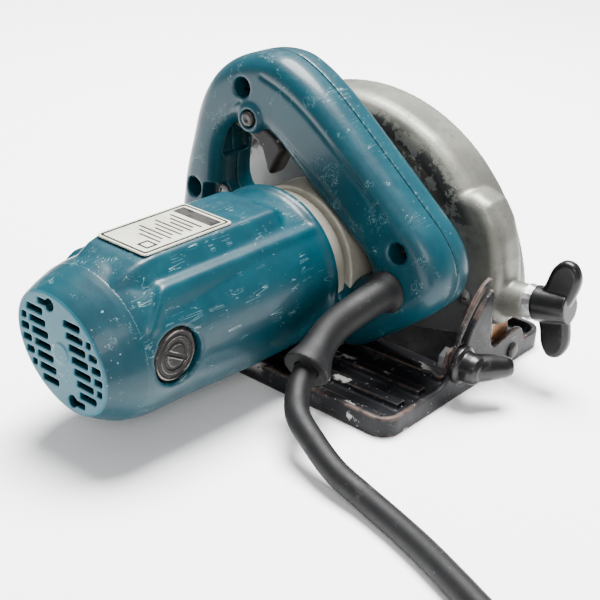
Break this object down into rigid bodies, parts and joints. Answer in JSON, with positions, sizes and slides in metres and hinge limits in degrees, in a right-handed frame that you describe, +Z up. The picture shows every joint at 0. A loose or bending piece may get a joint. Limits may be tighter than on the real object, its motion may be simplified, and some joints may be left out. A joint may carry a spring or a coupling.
{
  "type": "circular_saw",
  "caption": "Old portable circular saw with an overhead D handle, side motor, silver blade case, tilting steel base and mains cord",
  "frame": {"origin": "On the sole of the base, straight under the blade axis and 53 mm to the motor side of the blade", "axes": "+X is the cutting direction, +Y is the motor side, +Z is up"},
  "size_m": [0.4305, 0.3465, 0.1992],
  "materials": {
    "base_paint": "worn",
    "bare_steel": "worn",
    "blade_steel": "worn",
    "guard_steel": "worn",
    "rusty_steel": "worn",
    "cord_rubber": "matte",
    "black_plastic": "matte",
    "brown_plastic": "matte",
    "teal_plastic": "worn",
    "case_aluminium": "worn",
    "gear_aluminium": "worn",
    "label_card": "matte",
    "copper_alloy": "polished"
  },
  "bodies": {
    "base": {"base_plate": "base_paint", "front_bracket": "base_paint", "rear_pivot_rivet": "bare_steel", "front_pivot_rivet": "bare_steel", "cord_run": "cord_rubber", "cord_coil": "cord_rubber", "cord_tie": "black_plastic", "power_plug": "cord_rubber"},
    "tilt_frame": {"rear_tilt_plate": "base_paint", "depth_guide": "rusty_steel", "rear_bevel_bolt": "bare_steel", "front_yoke": "base_paint", "depth_pivot_pin": "bare_steel"},
    "bevel_knob": {"rear_bevel_knob": "black_plastic"},
    "saw_body": {"blade_case": "case_aluminium", "case_screw": "bare_steel", "clamp_bolt": "bare_steel", "clamp_collar": "bare_steel", "gear_housing": "gear_aluminium", "motor_housing": "teal_plastic", "vent_cover": "teal_plastic", "rating_label": "label_card", "brush_cap_rear": "brown_plastic", "brush_cap_front": "brown_plastic", "carbon_brush_rear": "black_plastic", "carbon_brush_front": "black_plastic", "stator": "bare_steel", "bearing_front": "bare_steel", "bearing_rear": "bare_steel", "handle_left": "teal_plastic", "handle_right": "teal_plastic", "handle_screw_top": "bare_steel", "handle_screw_front": "bare_steel", "handle_screw_rear": "bare_steel", "pocket_screw": "bare_steel", "switch_body": "black_plastic", "cord_guard": "cord_rubber", "cord_rise": "cord_rubber"},
    "wing": {"wing_knob": "black_plastic"},
    "arbor": {"saw_blade": "blade_steel", "inner_flange": "bare_steel", "outer_flange": "bare_steel", "blade_bolt": "bare_steel", "arbor_shaft": "bare_steel", "driven_gear": "bare_steel"},
    "idler": {"idler_shaft": "bare_steel"},
    "armature": {"armature_shaft": "bare_steel", "armature_core": "bare_steel", "commutator": "copper_alloy", "cooling_fan": "black_plastic"},
    "guard": {"lower_guard": "guard_steel"},
    "trigger_lever": {"trigger": "brown_plastic"},
    "lock": {"lock_button": "black_plastic"}
  },
  "joints": [
    {"name": "bevel", "type": "hinge", "parent": "base", "child": "tilt_frame", "pos_m": [0, -0.055, 0.007], "axis": [1, 0, 0], "range_deg": [0, 45]},
    {"name": "depth", "type": "hinge", "parent": "tilt_frame", "child": "saw_body", "pos_m": [0.1, -0.04, 0.012], "axis": [0, 1, 0], "range_deg": [0, 10]},
    {"name": "bevel_knob_turn", "type": "hinge", "parent": "tilt_frame", "child": "bevel_knob", "pos_m": [-0.108, -0.00638, 0.01867], "axis": [1, 0, 0], "continuous": true},
    {"name": "wing_turn", "type": "hinge", "parent": "saw_body", "child": "wing", "pos_m": [-0.112, -0.048, 0.04009], "axis": [-0.9824, 0, 0.1867], "continuous": true},
    {"name": "blade_spin", "type": "hinge", "parent": "saw_body", "child": "arbor", "pos_m": [0, -0.0536, 0.021], "axis": [0, 1, 0], "continuous": true},
    {"name": "idler_spin", "type": "hinge", "parent": "saw_body", "child": "idler", "pos_m": [0.00777, -0.014, 0.03765], "axis": [0, 1, 0], "continuous": true},
    {"name": "motor_spin", "type": "hinge", "parent": "saw_body", "child": "armature", "pos_m": [-0.007, 0.06, 0.045], "axis": [0, 1, 0], "continuous": true},
    {"name": "guard_swing", "type": "hinge", "parent": "saw_body", "child": "guard", "pos_m": [0, -0.0536, 0.021], "axis": [0, 1, 0], "range_deg": [0, 140], "stiffness_Nm_per_rad": 0.12, "springref_deg": -126.05},
    {"name": "trigger_pull", "type": "hinge", "parent": "saw_body", "child": "trigger_lever", "pos_m": [0.038, -0.008, 0.097], "axis": [0, 1, 0], "range_deg": [0, 7], "stiffness_Nm_per_rad": 0.3, "springref_deg": -6.88},
    {"name": "lock_press", "type": "slide", "parent": "saw_body", "child": "lock", "axis": [0, -1, 0], "range_m": [0, 0.002], "stiffness_N_per_m": 120, "springref_m": -0.002}
  ],
  "couplings": [
    {"joint": "idler_spin", "follows": "blade_spin", "ratio": -2.5},
    {"joint": "motor_spin", "follows": "blade_spin", "ratio": 6.6667}
  ]
}
